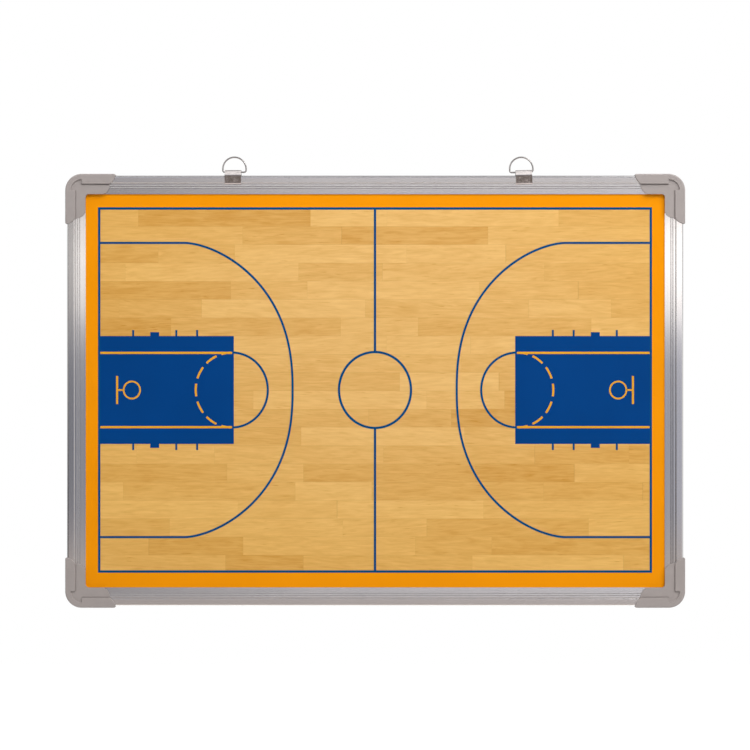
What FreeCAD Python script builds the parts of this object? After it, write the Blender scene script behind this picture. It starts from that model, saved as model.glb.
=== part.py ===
import FreeCAD, Part
import Sketcher
import math
import os
import re
from FreeCAD import Vector

# Tactics board: a magnetic court panel in an extruded frame with moulded corner caps.
# Two bent-strip clips slide along the top rail, and a wire D-ring swings in each.
# X runs to the right, Z up and Y into the wall; the front of the board looks along -Y.
# The origin is the middle of the board on the wall plane, which the caps' backs touch.

# Driving dimensions in millimetres and degrees
SIZES = [
    ("board_width", 600.0, "overall width over the corner caps"),
    ("board_height", 420.0, "overall height over the corner caps"),
    ("film_thickness", 0.3, "printed dry-wipe film"),
    ("steel_thickness", 0.5, "steel sheet under the film"),
    ("core_thickness", 7.5, "light core board"),
    ("backing_thickness", 0.5, "galvanised sheet behind the core"),
    ("panel_edge_gap", 0.3, "panel edge to rail web"),
    ("rail_face", 18.0, "rail width seen from the front"),
    ("rail_depth", 15.0, "rail from its back to the top of its bead"),
    ("rail_wall", 1.2, "outer and back wall of the rail"),
    ("rail_round", 0.8, "round on the rail's outer back edge"),
    ("bead_wall", 1.4, "wall at the front of the bead"),
    ("bead_width", 7.6, "smooth outer bead of the rail"),
    ("bead_round", 2.0, "round on the bead's outer edge"),
    ("bead_edge", 0.9, "round where the rail drops into its grooves"),
    ("groove_width", 1.3, "clip groove beside the bead"),
    ("groove_depth", 2.2, "depth of the clip grooves, front and back"),
    ("groove_side", 0.6, "metal on each side of the grooves"),
    ("flange_drop", 1.3, "flange face behind the bead's top"),
    ("flange_thickness", 1.6, "flange that covers the panel's edge"),
    ("reed_start", 1.3, "groove to the middle of the first reed cut"),
    ("reed_pitch", 1.9, "spacing of the two reed cuts"),
    ("reed_width", 1.0, "width of a reed cut"),
    ("reed_depth", 0.45, "depth of a reed cut"),
    ("flange_fall", 0.7, "fall of the flange face from the groove to its inner edge"),
    ("back_lip", 4.5, "lip behind the panel"),
    ("back_lip_thickness", 1.2, "thickness of that lip"),
    ("rail_clear", 0.5, "square-cut rail end past the inner corner"),
    ("end_gap", 0.2, "rail end to the cap's corner block"),
    ("cap_wall", 1.5, "cap outside the rail"),
    ("cap_front", 1.2, "cap in front of the rail"),
    ("cap_back", 1.5, "cap behind the rail"),
    ("cap_gap", 0.1, "cap to rail and panel"),
    ("cap_corner", 16.0, "outer corner radius of the cap"),
    ("cap_recess_rim", 5.4, "rim left round the corner recess"),
    ("cap_groove_width", 0.8, "groove at the foot of the rim"),
    ("cap_groove_depth", 0.5, "depth of that groove"),
    ("cap_rim_length", 48.5, "arm length at the outer edge"),
    ("cap_rim_fall", 5.5, "arm end falls back by this across the rim"),
    ("cap_flange_fall", 6.0, "arm end falls back by this across the flange"),
    ("cap_inner_round", 3.0, "round in the inner corner of the cap"),
    ("cap_edge_round", 1.2, "round on the cap's outer edges"),
    ("cap_end_round", 0.4, "round on the rim's inner edges and the ends of the arms"),
    ("key_gap", 0.15, "corner key to the rail's chamber"),
    ("key_length", 46.0, "corner key legs from the cap's outer edges"),
    ("key_nose", 1.0, "lead-in chamfer on the key's legs"),
    ("screw_radius", 1.45, "thread of the corner screws"),
    ("screw_head", 2.7, "radius of the countersunk head"),
    ("screw_head_height", 1.3, "height of the countersunk head"),
    ("screw_length", 9.0, "screw from head to tip"),
    ("screw_tip", 1.8, "tapered tip of the screw"),
    ("screw_sink", 0.1, "head below the back of the cap"),
    ("screw_place", 33.0, "screw from the cap's outer corner along the arm"),
    ("screw_gap", 0.08, "screw to its holes"),
    ("cross_length", 2.8, "arm of the cross recess"),
    ("cross_width", 0.6, "width of the cross recess"),
    ("cross_depth", 0.9, "depth of the cross recess"),
    ("clip_width", 16.0, "hanger clip along the rail"),
    ("clip_thickness", 0.6, "strip that the clip is bent from"),
    ("clip_gap", 0.15, "clip to the rail's front and back"),
    ("clip_top_gap", 0.4, "clip to the rail's outer edge"),
    ("clip_bend", 0.9, "bend radius at the middle of the strip"),
    ("lip_reach", 1.6, "clip lips into the rail's grooves"),
    ("clip_shoulder", 0.1, "shoulder of the clip over the rail's outer edge"),
    ("clip_lean", 40.0, "lean of the strip from its shoulder back to the loop"),
    ("loop_inside", 1.5, "inner radius of the clip's loop"),
    ("loop_rise", 3.5, "loop centre over the rail's outer edge"),
    ("clip_left_place", 137.8, "left clip from the middle of the board"),
    ("clip_right_place", 144.2, "right clip from the middle of the board"),
    ("clip_right_tilt", 1.5, "lean of the right clip in its play"),
    ("ring_width", 24.1, "D-ring over its wire"),
    ("ring_height", 16.1, "D-ring over its wire"),
    ("ring_wire", 1.6, "wire of the D-ring"),
    ("ring_corner", 2.0, "lower corners of the D-ring"),
    ("ring_left_shift", 1.3, "left ring towards the right in its clip"),
    ("ring_right_shift", 2.1, "right ring towards the left in its clip"),
]

# Sizes that follow from the driving ones
GROOVE_END = "(bead_width + groove_width)"
GROOVE_MIDDLE = "(bead_width + groove_width / 2)"
WEB_START = "(bead_width - groove_side)"
WEB_END = "(bead_width + groove_width + groove_side)"
LIP_END = "(bead_width + groove_width + groove_side + back_lip)"
FLANGE_FACE = "(rail_depth - flange_drop)"
FLANGE_SLOPE = f"(flange_fall / (rail_face - {GROOVE_END}))"
PANEL_FACE = "(rail_depth - flange_drop - flange_thickness)"
PANEL_THICKNESS = "(film_thickness + steel_thickness + core_thickness + backing_thickness)"
PANEL_BACK = f"({PANEL_FACE} - {PANEL_THICKNESS})"
CHAMBER_FRONT = "(rail_depth - bead_wall)"
CAP_DEPTH = "(cap_back + rail_depth + cap_gap + cap_front)"
CAP_INNER = "(cap_wall + rail_face)"
CAP_STEP = f"(cap_wall + {GROOVE_MIDDLE})"
CAP_STEP_LENGTH = "(cap_rim_length - cap_rim_fall)"
CAP_INNER_LENGTH = "(cap_rim_length - cap_rim_fall - cap_flange_fall)"
RAIL_START = f"({CAP_INNER} + rail_clear)"
ROOM_START = f"({RAIL_START} - end_gap)"
KEY_MIDDLE = f"(cap_wall + (rail_wall + {WEB_START}) / 2)"
KEY_OUTER = "(cap_wall + rail_wall + key_gap)"
KEY_INNER = f"(cap_wall + {WEB_START} - key_gap)"
PANEL_INSET = f"(cap_wall + {WEB_END} + panel_edge_gap)"
CLIP_FRONT = "(cap_back + rail_depth + clip_gap + clip_thickness / 2)"
CLIP_BACK = "(cap_back - clip_gap - clip_thickness / 2)"
CLIP_TOP = f"({GROOVE_MIDDLE} + clip_top_gap + clip_thickness / 2)"
LOOP_RADIUS = "(loop_inside + clip_thickness / 2)"
LOOP_HEIGHT = f"({GROOVE_MIDDLE} + loop_rise)"
SHOULDER = f"({GROOVE_MIDDLE} + clip_shoulder)"
LEAN_FROM = f"({CLIP_FRONT} - clip_bend * (1 - cos(clip_lean)))"
LEAN_FOOT = f"({SHOULDER} + clip_bend * sin(clip_lean))"
LEAN_TOP = f"({LOOP_HEIGHT} + {LOOP_RADIUS} * sin(clip_lean))"
LEAN_TO = f"({LEAN_FROM} - ({LEAN_TOP} - {LEAN_FOOT}) * tan(clip_lean))"
LOOP_DEPTH = f"({LEAN_TO} - {LOOP_RADIUS} * cos(clip_lean))"
RAIL_EDGE_HEIGHT = "(board_height / 2 - cap_wall)"
GROOVE_HEIGHT = f"({RAIL_EDGE_HEIGHT} - {GROOVE_MIDDLE})"
RING_RADIUS = "((ring_width - ring_wire) / 2)"
RING_SIDE = f"(ring_height - ring_wire - {RING_RADIUS})"

CLOSE = 1e-4

doc = FreeCAD.newDocument("TacticsBoard")
sheet = doc.addObject("Spreadsheet::Sheet", "Sizes")
for row, (alias, amount, meaning) in enumerate(SIZES, start=1):
    sheet.set(f"A{row}", meaning)
    sheet.set(f"B{row}", str(amount))
    sheet.setAlias(f"B{row}", alias)
doc.recompute()

SIZE_NAMES = {alias for alias, amount, meaning in SIZES}


def bound(text):
    """Return the expression with each size name pointing at its cell of the sheet."""
    return re.sub(r"[a-z]\w*", lambda word: "Sizes." + word[0] if word[0] in SIZE_NAMES else word[0], text)


def number(text):
    """Return the present value of an expression in size names."""
    return float(sheet.evalExpression(bound(text)))


def bind(thing, **properties):
    """Bind properties of an object to expressions in size names."""
    for name, text in properties.items():
        thing.setExpression(name, bound(text))


def place(thing, rotation, x, y, z):
    """Turn an object, and bind its position to expressions in size names."""
    thing.Placement = FreeCAD.Placement(Vector(number(x), number(y), number(z)), rotation)
    for axis, text in zip("xyz", (x, y, z)):
        thing.setExpression(f"Placement.Base.{axis}", bound(text))


def axes(x_to, y_to, z_to):
    """Return the rotation that carries the local axes to three given directions."""
    columns = FreeCAD.Matrix(
        x_to.x, y_to.x, z_to.x, 0,
        x_to.y, y_to.y, z_to.y, 0,
        x_to.z, y_to.z, z_to.z, 0,
        0, 0, 0, 1)
    return FreeCAD.Rotation(columns)


RIGHT = Vector(1, 0, 0)
INTO_WALL = Vector(0, 1, 0)
UP = Vector(0, 0, 1)


def about_wall_axis(degrees):
    """Return a turn in the plane of the board; a quarter turn carries up to right."""
    return FreeCAD.Rotation(INTO_WALL, degrees)


# Helpers for bodies and sketches

def new_body(label):
    body = doc.addObject("PartDesign::Body", label)
    body.Label = label
    return body


def new_sketch(body, name, role, offset="0"):
    """Add a sketch on one of the body's own planes, lifted along the plane's normal."""
    sketch = body.newObject("Sketcher::SketchObject", name)
    plane = next(item for item in body.Origin.OriginFeatures if item.Role == role)
    sketch.AttachmentSupport = [(plane, "")]
    sketch.MapMode = "FlatFace"
    sketch.setExpression("AttachmentOffset.Base.z", bound(offset))
    return sketch


def fix_point(sketch, geometry, end, x, y):
    """Hold one end of a curve at a place given by two expressions."""
    for kind, axis, text in (("DistanceX", -2, x), ("DistanceY", -1, y)):
        if text == "0":
            sketch.addConstraint(Sketcher.Constraint("PointOnObject", geometry, end, axis))
            continue
        index = sketch.addConstraint(Sketcher.Constraint(kind, -1, 1, geometry, end, number(text)))
        sketch.setExpression(f"Constraints[{index}]", bound(text))


def draw(sketch, corners, closed=True):
    """Draw lines and arcs from corner to corner.

    A corner is (x, y), or (x, y, radius, side) where an arc starts: side is 1 for an
    arc whose centre lies left of the way to the next corner, and -1 for the right.
    """
    spots = [Vector(number(corner[0]), number(corner[1]), 0) for corner in corners]
    count = len(corners) if closed else len(corners) - 1
    ends = []
    for index in range(count):
        start = spots[index]
        finish = spots[(index + 1) % len(spots)]
        corner = corners[index]
        if len(corner) == 2:
            geometry = sketch.addGeometry(Part.LineSegment(start, finish), False)
            ends.append((geometry, 1, 2))
            continue
        radius = number(corner[2])
        half = (finish - start).Length / 2
        along = (finish - start).normalize()
        left = Vector(-along.y, along.x, 0)
        rise = radius - math.sqrt(max(radius * radius - half * half, 0))
        middle = (start + finish) / 2 - left * (corner[3] * rise)
        geometry = sketch.addGeometry(Part.Arc(start, middle, finish), False)
        forward = sketch.getPoint(geometry, 1).distanceToPoint(start) < CLOSE
        ends.append((geometry, 1, 2) if forward else (geometry, 2, 1))
        held = sketch.addConstraint(Sketcher.Constraint("Radius", geometry, radius))
        sketch.setExpression(f"Constraints[{held}]", bound(corner[2]))
    for index in range(count if closed else count - 1):
        here = ends[index]
        after = ends[(index + 1) % count]
        sketch.addConstraint(Sketcher.Constraint("Coincident", here[0], here[2], after[0], after[1]))
    for index in range(count):
        fix_point(sketch, ends[index][0], ends[index][1], corners[index][0], corners[index][1])
    if not closed:
        fix_point(sketch, ends[-1][0], ends[-1][2], corners[-1][0], corners[-1][1])


def draw_circle(sketch, x, y, radius):
    circle = Part.Circle(Vector(number(x), number(y), 0), Vector(0, 0, 1), number(radius))
    geometry = sketch.addGeometry(circle, False)
    fix_point(sketch, geometry, 3, x, y)
    held = sketch.addConstraint(Sketcher.Constraint("Radius", geometry, number(radius)))
    sketch.setExpression(f"Constraints[{held}]", bound(radius))


def rectangle(left, low, right, high):
    return [(left, low), (right, low), (right, high), (left, high)]


def pad(body, sketch, length):
    feature = body.newObject("PartDesign::Pad", sketch.Name + "Pad")
    feature.Profile = sketch
    bind(feature, Length=length)
    sketch.Visibility = False
    return feature


def pocket(body, sketch, depth, along_normal=False):
    """Cut a sketch into the body, against its plane's normal unless told otherwise."""
    feature = body.newObject("PartDesign::Pocket", sketch.Name + "Pocket")
    feature.Profile = sketch
    feature.Reversed = along_normal
    bind(feature, Length=depth)
    sketch.Visibility = False
    return feature


def edge_names(shape, wanted):
    """Return the names of the edges whose middle point passes the test."""
    names = []
    for index, edge in enumerate(shape.Edges, start=1):
        middle = edge.valueAt((edge.FirstParameter + edge.LastParameter) / 2)
        if wanted(middle):
            names.append(f"Edge{index}")
    return names


def round_edges(body, kind, size_name, size, wanted):
    """Add a fillet or chamfer on the edges of the body's tip that pass the test."""
    doc.recompute()
    base = body.Tip
    feature = body.newObject(kind, body.Name + size)
    feature.Base = (base, edge_names(base.Shape, wanted))
    bind(feature, **{size_name: size})
    return feature


# Rails: u runs inwards from the outer edge, w from the rail's back to its front

def flange_height(across):
    """Return the height of the sloping flange face at a distance from the rail's outer edge."""
    return f"({FLANGE_FACE} - ({across} - {GROOVE_END}) * {FLANGE_SLOPE})"


def rail_outline():
    """Return the rail's section, from the back round by the panel channel to the bead."""
    reeds = []
    for turn in (1, 0):
        middle = f"({GROOVE_END} + reed_start + {turn} * reed_pitch)"
        far = f"({middle} + reed_width / 2)"
        near = f"({middle} - reed_width / 2)"
        reeds += [
            (far, flange_height(far)),
            (middle, f"{flange_height(middle)} - reed_depth"),
            (near, flange_height(near)),
        ]
    return [
        ("rail_round", "0"),
        ("bead_width - bead_edge", "0", "bead_edge", 1),
        ("bead_width", "bead_edge"),
        ("bead_width", "groove_depth"),
        (GROOVE_END, "groove_depth"),
        (GROOVE_END, "0"),
        (WEB_END, "0"),
        (WEB_END, f"{PANEL_BACK} - back_lip_thickness"),
        (LIP_END, f"{PANEL_BACK} - back_lip_thickness"),
        (LIP_END, PANEL_BACK),
        (WEB_END, PANEL_BACK),
        (WEB_END, PANEL_FACE),
        ("rail_face", PANEL_FACE),
        ("rail_face", f"{FLANGE_FACE} - flange_fall"),
        *reeds,
        (GROOVE_END, FLANGE_FACE),
        (GROOVE_END, "rail_depth - groove_depth"),
        ("bead_width", "rail_depth - groove_depth"),
        ("bead_width", "rail_depth - bead_edge", "bead_edge", 1),
        ("bead_width - bead_edge", "rail_depth"),
        ("bead_round", "rail_depth", "bead_round", 1),
        ("0", "rail_depth - bead_round"),
        ("0", "rail_round", "rail_round", 1),
    ]


def make_rail(label, along, x, z, turn):
    """Make a square-cut rail along one side; the caps' screws pass through its back wall."""
    length = f"({along} - 2 * {RAIL_START})"
    body = new_body(label)
    section = new_sketch(body, "Section_" + label, "XY_Plane")
    draw(section, rail_outline())
    draw(section, rectangle("rail_wall", "rail_wall", WEB_START, CHAMBER_FRONT))
    pad(body, section, length)
    doc.recompute()
    holes = new_sketch(body, "ScrewHoles_" + label, "XZ_Plane")
    from_end = f"(screw_place - {RAIL_START})"
    for height in (from_end, f"{length} - {from_end}"):
        draw_circle(holes, f"{KEY_MIDDLE} - cap_wall", height, "screw_radius + screw_gap")
    pocket(body, holes, "rail_wall + key_gap")
    section_turn = axes(-UP, -INTO_WALL, -RIGHT)
    x_text = x.replace("half_length", f"{length} / 2")
    z_text = z.replace("half_length", f"{length} / 2")
    place(body, about_wall_axis(turn).multiply(section_turn), x_text, "-cap_back", z_text)
    return body


# Corner caps and keys: a and b run inwards from the two outer edges, depth runs to the front

def end_radius(width, drop):
    """Return the radius of an arc that starts square to the arm and falls by drop over width."""
    return f"(({width} * {width} + {drop} * {drop}) / (2 * {drop}))"


def cap_outline():
    """Return the cap seen from the front, with convex ends on both arms."""
    rim_end = end_radius(CAP_STEP, "cap_rim_fall")
    flange_end = end_radius(f"({CAP_INNER} - {CAP_STEP})", "cap_flange_fall")
    return [
        ("cap_corner", "0"),
        ("cap_rim_length", "0", rim_end, 1),
        (CAP_STEP_LENGTH, CAP_STEP, flange_end, 1),
        (CAP_INNER_LENGTH, CAP_INNER),
        (f"{CAP_INNER} + cap_inner_round", CAP_INNER, "cap_inner_round", -1),
        (CAP_INNER, f"{CAP_INNER} + cap_inner_round"),
        (CAP_INNER, CAP_INNER_LENGTH, flange_end, 1),
        (CAP_STEP, CAP_STEP_LENGTH, rim_end, 1),
        ("0", "cap_rim_length"),
        ("0", "cap_corner", "cap_corner", 1),
    ]


def cap_step_outline():
    """Return the lowered flange of the cap, with the quarter-round recess in its corner."""
    return [
        ("cap_rim_length", CAP_STEP),
        ("cap_rim_length", "cap_rim_length"),
        (CAP_STEP, "cap_rim_length"),
        (CAP_STEP, "cap_corner"),
        ("cap_recess_rim", "cap_corner", "cap_corner - cap_recess_rim", 1),
        ("cap_corner", "cap_recess_rim"),
        ("cap_corner", CAP_STEP),
    ]


def elbow_outline(outer, inner, length):
    """Return an L of even width whose bend shares its centre with the cap's corner."""
    return [
        (length, outer),
        (length, inner),
        ("cap_corner", inner, f"cap_corner - {inner}", -1),
        (inner, "cap_corner"),
        (inner, length),
        (outer, length),
        (outer, "cap_corner", f"cap_corner - {outer}", 1),
        ("cap_corner", outer),
    ]


CORNERS = {
    "top_right": (1, 1, 0),
    "bottom_right": (1, -1, 90),
    "bottom_left": (-1, -1, 180),
    "top_left": (-1, 1, 270),
}


def place_at_corner(body, corner):
    side, level, turn = CORNERS[corner]
    rotation = about_wall_axis(turn).multiply(axes(-RIGHT, -UP, -INTO_WALL))
    place(body, rotation, f"{side} * board_width / 2", "0", f"{level} * board_height / 2")


def arm_rooms(sketch, low, high):
    """Draw the room for a rail in both arms, between two distances from the outer edge."""
    draw(sketch, rectangle(ROOM_START, low, "cap_rim_length", high))
    draw(sketch, rectangle(low, ROOM_START, high, "cap_rim_length"))


def make_cap(corner):
    """Make a corner cap that sleeves over two rail ends and holds the panel's corner."""
    label = "corner_cap_" + corner
    body = new_body(label)

    form = new_sketch(body, "Form_" + label, "XY_Plane")
    draw(form, cap_outline())
    pad(body, form, CAP_DEPTH)

    step = new_sketch(body, "Step_" + label, "XY_Plane", CAP_DEPTH)
    draw(step, cap_step_outline())
    pocket(body, step, "flange_drop")

    groove = new_sketch(body, "Groove_" + label, "XY_Plane", f"{CAP_DEPTH} - flange_drop")
    groove_side = f"{CAP_STEP} + cap_groove_width"
    draw(groove, rectangle("cap_corner", CAP_STEP, "cap_rim_length", groove_side))
    draw(groove, rectangle(CAP_STEP, "cap_corner", groove_side, "cap_rim_length"))
    pocket(body, groove, "cap_groove_depth")

    rail_room = new_sketch(body, "RailRoom_" + label, "XY_Plane", "cap_back - cap_gap")
    arm_rooms(rail_room, "cap_wall - cap_gap", CAP_INNER)
    pocket(body, rail_room, f"{FLANGE_FACE} + 2 * cap_gap", along_normal=True)

    bead_room = new_sketch(body, "BeadRoom_" + label, "XY_Plane", f"cap_back + {FLANGE_FACE}")
    arm_rooms(bead_room, "cap_wall - cap_gap", "cap_wall + bead_width + cap_gap")
    pocket(body, bead_room, "flange_drop + cap_gap", along_normal=True)

    panel_room = new_sketch(body, "PanelRoom_" + label, "XY_Plane", f"cap_back + {PANEL_BACK} - cap_gap")
    panel_start = f"{PANEL_INSET} - cap_gap"
    draw(panel_room, rectangle(panel_start, panel_start, "cap_rim_length", "cap_rim_length"))
    pocket(body, panel_room, f"{PANEL_THICKNESS} + 2 * cap_gap", along_normal=True)

    back_trim = new_sketch(body, "BackTrim_" + label, "XY_Plane")
    trim_start = f"cap_wall + {LIP_END}"
    draw(back_trim, rectangle(trim_start, trim_start, "cap_rim_length", "cap_rim_length"))
    pocket(body, back_trim, f"cap_back + {PANEL_BACK}", along_normal=True)

    key_room = new_sketch(body, "KeyRoom_" + label, "XY_Plane", "cap_back + rail_wall")
    room_end = f"{ROOM_START} + end_gap"
    draw(key_room, elbow_outline(f"({KEY_OUTER} - key_gap)", f"({KEY_INNER} + key_gap)", room_end))
    pocket(body, key_room, f"{CHAMBER_FRONT} - rail_wall", along_normal=True)

    for index, (x, y) in enumerate((("screw_place", KEY_MIDDLE), (KEY_MIDDLE, "screw_place"))):
        hole = new_sketch(body, f"ScrewHole{index}_{label}", "XY_Plane")
        draw_circle(hole, x, y, "screw_radius + screw_gap")
        pocket(body, hole, "cap_back", along_normal=True)
        sink = body.newObject("PartDesign::SubtractiveCone", f"Countersink{index}_{label}")
        sink.Placement = FreeCAD.Placement(Vector(number(x), number(y), 0), FreeCAD.Rotation())
        slope = "((screw_head - screw_radius) / screw_head_height)"
        bind(sink, **{
            "Placement.Base.x": x,
            "Placement.Base.y": y,
            "Radius1": f"screw_head + screw_gap + screw_sink * {slope}",
            "Radius2": "screw_radius + screw_gap",
            "Height": "screw_head_height + screw_sink",
        })

    corner_radius = number("cap_corner")
    front = number(CAP_DEPTH)

    def outer_edge(point):
        from_centre = math.hypot(point.x - corner_radius, point.y - corner_radius)
        on_corner = point.x < corner_radius and point.y < corner_radius
        on_side = min(point.x, point.y) < CLOSE
        on_arc = on_corner and abs(from_centre - corner_radius) < CLOSE
        return (on_side or on_arc) and min(point.z, front - point.z) < CLOSE

    def rim_edge(point):
        return point.z > front - CLOSE and not outer_edge(point)

    round_edges(body, "PartDesign::Fillet", "Radius", "cap_end_round", rim_edge)
    round_edges(body, "PartDesign::Fillet", "Radius", "cap_edge_round", outer_edge)
    place_at_corner(body, corner)
    return body


def make_key(corner):
    """Make the angle piece that ties two rail ends together inside their chambers."""
    label = "corner_key_" + corner
    body = new_body(label)
    form = new_sketch(body, "Form_" + label, "XY_Plane", "cap_back + rail_wall + key_gap")
    draw(form, elbow_outline(KEY_OUTER, KEY_INNER, "key_length"))
    pad(body, form, f"{CHAMBER_FRONT} - rail_wall - 2 * key_gap")
    doc.recompute()
    holes = new_sketch(body, "ScrewHoles_" + label, "XY_Plane", "cap_back + rail_wall + key_gap")
    draw_circle(holes, "screw_place", KEY_MIDDLE, "screw_radius + screw_gap")
    draw_circle(holes, KEY_MIDDLE, "screw_place", "screw_radius + screw_gap")
    pocket(body, holes, "screw_length", along_normal=True)
    far_end = number("key_length")
    round_edges(body, "PartDesign::Chamfer", "Size", "key_nose",
                lambda point: max(point.x, point.y) > far_end - CLOSE)
    place_at_corner(body, corner)
    return body


# Screws: countersunk, driven from the back through cap and rail into the keys

def make_screw(name, side, level, a, b):
    """Make one screw whose head lies just under the back of a cap."""
    rotation = axes(RIGHT, UP, -INTO_WALL)
    x = f"{side} * (board_width / 2 - {a})"
    z = f"{level} * (board_height / 2 - {b})"
    head = doc.addObject("Part::Cone", name + "_head")
    bind(head, Radius1="screw_head", Radius2="screw_radius", Height="screw_head_height")
    place(head, rotation, x, "-screw_sink", z)
    shank = doc.addObject("Part::Cylinder", name + "_shank")
    bind(shank, Radius="screw_radius", Height="screw_length - screw_head_height - screw_tip")
    place(shank, rotation, x, "-screw_sink - screw_head_height", z)
    tip = doc.addObject("Part::Cone", name + "_tip")
    bind(tip, Radius1="screw_radius", Radius2="screw_radius / 4", Height="screw_tip")
    place(tip, rotation, x, "-screw_sink - screw_length + screw_tip", z)
    whole = doc.addObject("Part::MultiFuse", name + "_whole")
    whole.Shapes = [head, shank, tip]
    whole.Refine = True
    cross = []
    for turn, (width, height) in enumerate((("cross_length", "cross_width"), ("cross_width", "cross_length"))):
        arm = doc.addObject("Part::Box", f"{name}_cross{turn}")
        bind(arm, Length=width, Width=height, Height="cross_depth")
        place(arm, rotation, f"{x} - {width} / 2", "-screw_sink", f"{z} - {height} / 2")
        cross.append(arm)
    recess = doc.addObject("Part::MultiFuse", name + "_recess")
    recess.Shapes = cross
    screw = doc.addObject("Part::Cut", name)
    screw.Base = whole
    screw.Tool = recess
    return screw


def make_screws():
    """Make the eight alike screws as one group of separate solids."""
    screws = []
    for corner, (side, level, turn) in CORNERS.items():
        for arm, (a, b) in enumerate((("screw_place", KEY_MIDDLE), (KEY_MIDDLE, "screw_place"))):
            screws.append(make_screw(f"Screw_{corner}_{arm}", side, level, a, b))
    group = doc.addObject("Part::Compound", "corner_screws")
    group.Label = "corner_screws"
    group.Links = screws
    return group


# Panel: four layers of one outline, from the back sheet to the printed film

def make_panel():
    layers = [
        ("back_sheet", "backing_thickness"),
        ("panel_core", "core_thickness"),
        ("steel_face_sheet", "steel_thickness"),
        ("court_film", "film_thickness"),
    ]
    behind = f"cap_back + {PANEL_BACK}"
    made = []
    for label, thickness in layers:
        layer = doc.addObject("Part::Box", label)
        layer.Label = label
        bind(layer, Length=f"board_width - 2 * {PANEL_INSET}", Width=thickness,
             Height=f"board_height - 2 * {PANEL_INSET}")
        behind = f"{behind} + {thickness}"
        place(layer, FreeCAD.Rotation(), f"{PANEL_INSET} - board_width / 2", f"-({behind})",
              f"{PANEL_INSET} - board_height / 2")
        made.append(layer)
    return made


# Hangers: a strip bent over the rail's outer edge, with a loop that carries the ring

def clip_path():
    """Return the middle line of the strip, from its front lip over the loop to its back lip.

    It stands on the rail's bead, leans back from a shoulder and wraps round the loop.

    The first coordinate is the distance from the wall, the second the height over the grooves.
    """
    loop_back = f"({LOOP_DEPTH} - {LOOP_RADIUS})"
    return [
        ("cap_back + rail_depth - lip_reach", "0"),
        (f"{CLIP_FRONT} - clip_bend", "0", "clip_bend", 1),
        (CLIP_FRONT, "clip_bend"),
        (CLIP_FRONT, SHOULDER, "clip_bend", 1),
        (LEAN_FROM, LEAN_FOOT),
        (LEAN_TO, LEAN_TOP, LOOP_RADIUS, 1),
        (LOOP_DEPTH, f"{LOOP_HEIGHT} + {LOOP_RADIUS}", LOOP_RADIUS, 1),
        (loop_back, LOOP_HEIGHT),
        (loop_back, f"{CLIP_TOP} + clip_bend", "clip_bend", -1),
        (f"{loop_back} - clip_bend", CLIP_TOP),
        (f"{CLIP_BACK} + clip_bend", CLIP_TOP, "clip_bend", 1),
        (CLIP_BACK, f"{CLIP_TOP} - clip_bend"),
        (CLIP_BACK, "clip_bend", "clip_bend", 1),
        (f"{CLIP_BACK} + clip_bend", "0"),
        ("cap_back + lip_reach", "0"),
    ]


def make_clip(label, x, lean):
    """Make a hanger clip by carrying the strip's section along its bent path."""
    body = new_body(label)
    path = new_sketch(body, "Path_" + label, "XY_Plane")
    draw(path, clip_path(), closed=False)
    section = new_sketch(body, "Section_" + label, "YZ_Plane", "cap_back + rail_depth - lip_reach")
    half_width = "clip_width / 2"
    half_strip = "clip_thickness / 2"
    draw(section, rectangle(f"-{half_strip}", f"-{half_width}", half_strip, half_width))
    strip = body.newObject("PartDesign::AdditivePipe", "Strip_" + label)
    strip.Profile = section
    strip.Spine = path
    rotation = about_wall_axis(-number(lean)).multiply(axes(-INTO_WALL, UP, -RIGHT))
    place(body, rotation, x, "0", GROOVE_HEIGHT)
    return body


def ring_path():
    """Return the D-ring's middle line: a straight run, tight corners and a half-round top."""
    run_end = f"2 * {RING_RADIUS} - ring_corner"
    return [
        (RING_RADIUS, "0"),
        (run_end, "0", "ring_corner", 1),
        (f"2 * {RING_RADIUS}", "ring_corner"),
        (f"2 * {RING_RADIUS}", RING_SIDE, RING_RADIUS, 1),
        (RING_RADIUS, f"{RING_SIDE} + {RING_RADIUS}", RING_RADIUS, 1),
        ("0", RING_SIDE),
        ("0", "ring_corner", "ring_corner", 1),
        ("ring_corner", "0"),
    ]


def make_ring(label, x, shift, lean):
    """Make a D-ring whose straight run lies in the loop of its clip."""
    body = new_body(label)
    path = new_sketch(body, "Path_" + label, "XY_Plane")
    draw(path, ring_path())
    section = new_sketch(body, "Section_" + label, "YZ_Plane", RING_RADIUS)
    draw_circle(section, "0", "0", "ring_wire / 2")
    wire = body.newObject("PartDesign::AdditivePipe", "Wire_" + label)
    wire.Profile = section
    wire.Spine = path
    rotation = about_wall_axis(-number(lean)).multiply(axes(RIGHT, UP, -INTO_WALL))
    across = f"({shift} - {RING_RADIUS})"
    leaned_x = f"{x} + {across} * cos({lean}) - {LOOP_HEIGHT} * sin({lean})"
    leaned_z = f"{GROOVE_HEIGHT} + {LOOP_HEIGHT} * cos({lean}) + {across} * sin({lean})"
    place(body, rotation, leaned_x, f"-{LOOP_DEPTH}", leaned_z)
    return body


nodes = make_panel()
nodes.append(make_rail("top_rail", "board_width", "half_length", RAIL_EDGE_HEIGHT, 0))
nodes.append(make_rail("right_rail", "board_height", "board_width / 2 - cap_wall", "-half_length", 90))
nodes.append(make_rail("bottom_rail", "board_width", "-half_length", f"-{RAIL_EDGE_HEIGHT}", 180))
nodes.append(make_rail("left_rail", "board_height", "cap_wall - board_width / 2", "half_length", 270))
nodes += [make_cap(corner) for corner in CORNERS]
nodes += [make_key(corner) for corner in CORNERS]
nodes.append(make_screws())
nodes.append(make_clip("hanger_clip_left", "-clip_left_place", "0"))
nodes.append(make_clip("hanger_clip_right", "clip_right_place", "clip_right_tilt"))
nodes.append(make_ring("d_ring_left", "-clip_left_place", "ring_left_shift", "0"))
nodes.append(make_ring("d_ring_right", "clip_right_place", "-ring_right_shift", "clip_right_tilt"))
doc.recompute()

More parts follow.
